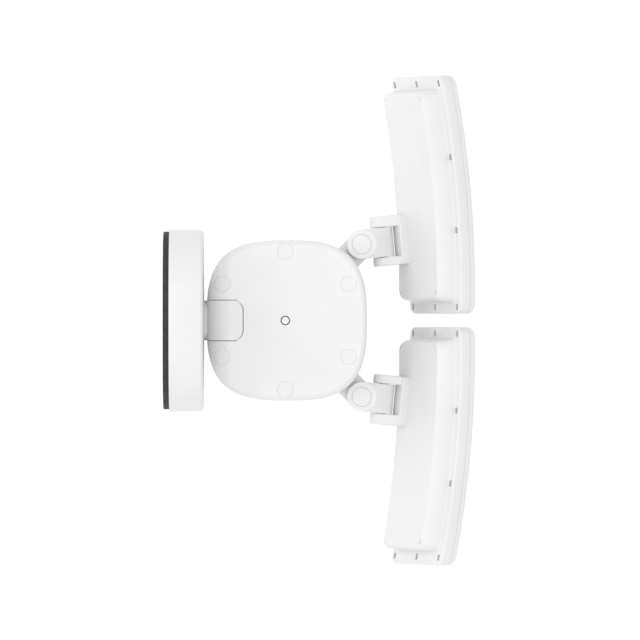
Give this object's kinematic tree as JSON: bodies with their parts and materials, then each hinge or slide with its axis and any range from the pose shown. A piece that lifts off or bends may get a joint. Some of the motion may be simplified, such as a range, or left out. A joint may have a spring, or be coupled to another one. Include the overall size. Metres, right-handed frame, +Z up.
{
  "type": "floodlight security camera",
  "caption": "Wall-hung floodlight camera: rounded body on a swing hinge, curved light panels on yaw and tilt links, pan and tilt camera below.",
  "frame": {"origin": "centre of the wall face of the foam gasket", "axes": "+Y points into the wall, -Y is the front, +Z is up, +X is to the right as seen from the front"},
  "size_m": [0.326, 0.2088, 0.163],
  "materials": {
    "white_plastic": "satin",
    "gasket_foam": "matt foam",
    "steel": "zinc plated",
    "seal_rubber": "matt",
    "light_rubber": "matt",
    "diffuser": "opal satin",
    "dark_plastic": "fine texture",
    "grey_plastic": "satin",
    "gear_plastic": "natural",
    "board_green": "solder mask",
    "board_white": "white solder mask",
    "driver_parts": "taped coil",
    "motor_can": "drawn can",
    "bronze": "sintered",
    "window_glass": "gloss",
    "lens_glass": "coated"
  },
  "bodies": {
    "wall_base": {"wall_gasket": "gasket_foam", "mounting_plate": "steel", "base_cover": "white_plastic", "base_cover_screws": "steel", "hinge_arm": "white_plastic", "arm_screws": "steel"},
    "body": {"top_housing": "white_plastic", "bottom_housing": "white_plastic", "body_seal": "seal_rubber", "screw_plugs": "white_plastic", "housing_screws": "steel", "centre_screw": "steel", "base_hinge_pin": "steel", "main_board": "board_green", "driver_module": "driver_parts", "wifi_antennas": "board_green", "speaker": "dark_plastic", "pan_frame": "steel", "pan_bush": "bronze", "pan_motor": "motor_can"},
    "pan_pinion": {"pan_pinion": "gear_plastic"},
    "sync_button": {"sync_button": "grey_plastic"},
    "card_door": {"card_door": "light_rubber"},
    "right_link": {"right_light_link": "white_plastic", "right_yaw_pin": "steel", "right_yaw_cap": "white_plastic"},
    "right_panel": {"right_tilt_pin": "steel", "right_rear_housing": "white_plastic", "right_front_frame": "white_plastic", "right_diffuser": "diffuser", "right_led_board": "board_white", "right_panel_seal": "seal_rubber", "right_panel_clips": "dark_plastic"},
    "left_link": {"left_light_link": "white_plastic", "left_yaw_pin": "steel", "left_yaw_cap": "white_plastic"},
    "left_panel": {"left_tilt_pin": "steel", "left_rear_housing": "white_plastic", "left_front_frame": "white_plastic", "left_diffuser": "diffuser", "left_led_board": "board_white", "left_panel_seal": "seal_rubber", "left_panel_clips": "dark_plastic"},
    "turret": {"pan_turret": "white_plastic", "pan_gear": "gear_plastic", "tilt_shafts": "steel", "tilt_gear": "gear_plastic"},
    "camera_head": {"head_rear_shell": "white_plastic", "head_front_shell": "white_plastic", "camera_window": "window_glass", "wide_lens": "lens_glass", "tele_lens": "lens_glass", "infrared_leds": "dark_plastic", "image_board": "board_green", "tilt_motor": "motor_can"},
    "tilt_pinion": {"tilt_pinion": "gear_plastic"}
  },
  "joints": [
    {"name": "base_hinge", "type": "hinge", "parent": "wall_base", "child": "body", "pos_m": [0, -0.0457, 0], "axis": [-1, 0, 0], "range_deg": [0, 90]},
    {"name": "right_yaw", "type": "hinge", "parent": "body", "child": "right_link", "pos_m": [0.051, -0.1323, -0.0115], "axis": [0, 0, 1], "range_deg": [0, 90]},
    {"name": "right_tilt", "type": "hinge", "parent": "right_link", "child": "right_panel", "pos_m": [0.05229, -0.14624, -0.0115], "axis": [0.9957, 0.0924, 0], "range_deg": [-35, 50]},
    {"name": "left_yaw", "type": "hinge", "parent": "body", "child": "left_link", "pos_m": [-0.051, -0.1323, -0.0115], "axis": [0, 0, -1], "range_deg": [0, 90]},
    {"name": "left_tilt", "type": "hinge", "parent": "left_link", "child": "left_panel", "pos_m": [-0.05229, -0.14624, -0.0115], "axis": [0.9957, -0.0924, 0], "range_deg": [-35, 50]},
    {"name": "camera_pan", "type": "hinge", "parent": "body", "child": "turret", "pos_m": [0, -0.0813, -0.028], "axis": [0, 0, 1], "range_deg": [-177, 177]},
    {"name": "pan_pinion_spin", "type": "hinge", "parent": "body", "child": "pan_pinion", "pos_m": [-0.03, -0.0813, -0.025], "axis": [0, 0, 1], "range_deg": [-720, 720]},
    {"name": "camera_tilt", "type": "hinge", "parent": "turret", "child": "camera_head", "pos_m": [0, -0.0813, -0.072], "axis": [1, 0, 0], "range_deg": [-20, 80]},
    {"name": "tilt_pinion_spin", "type": "hinge", "parent": "camera_head", "child": "tilt_pinion", "pos_m": [0.016, -0.06857, -0.08473], "axis": [1, 0, 0], "range_deg": [-60, 180]},
    {"name": "sync_button_press", "type": "slide", "parent": "body", "child": "sync_button", "axis": [0, 0, 1], "range_m": [0, 0.0004], "stiffness_N_per_m": 300, "springref_m": -0.001},
    {"name": "card_door_swing", "type": "hinge", "parent": "body", "child": "card_door", "pos_m": [0.0316, -0.0487, -0.02925], "axis": [-0.7071, 0.7071, 0], "range_deg": [0, 100]}
  ],
  "couplings": [
    {"joint": "pan_pinion_spin", "follows": "camera_pan", "ratio": -4},
    {"joint": "tilt_pinion_spin", "follows": "camera_tilt", "ratio": 2}
  ]
}
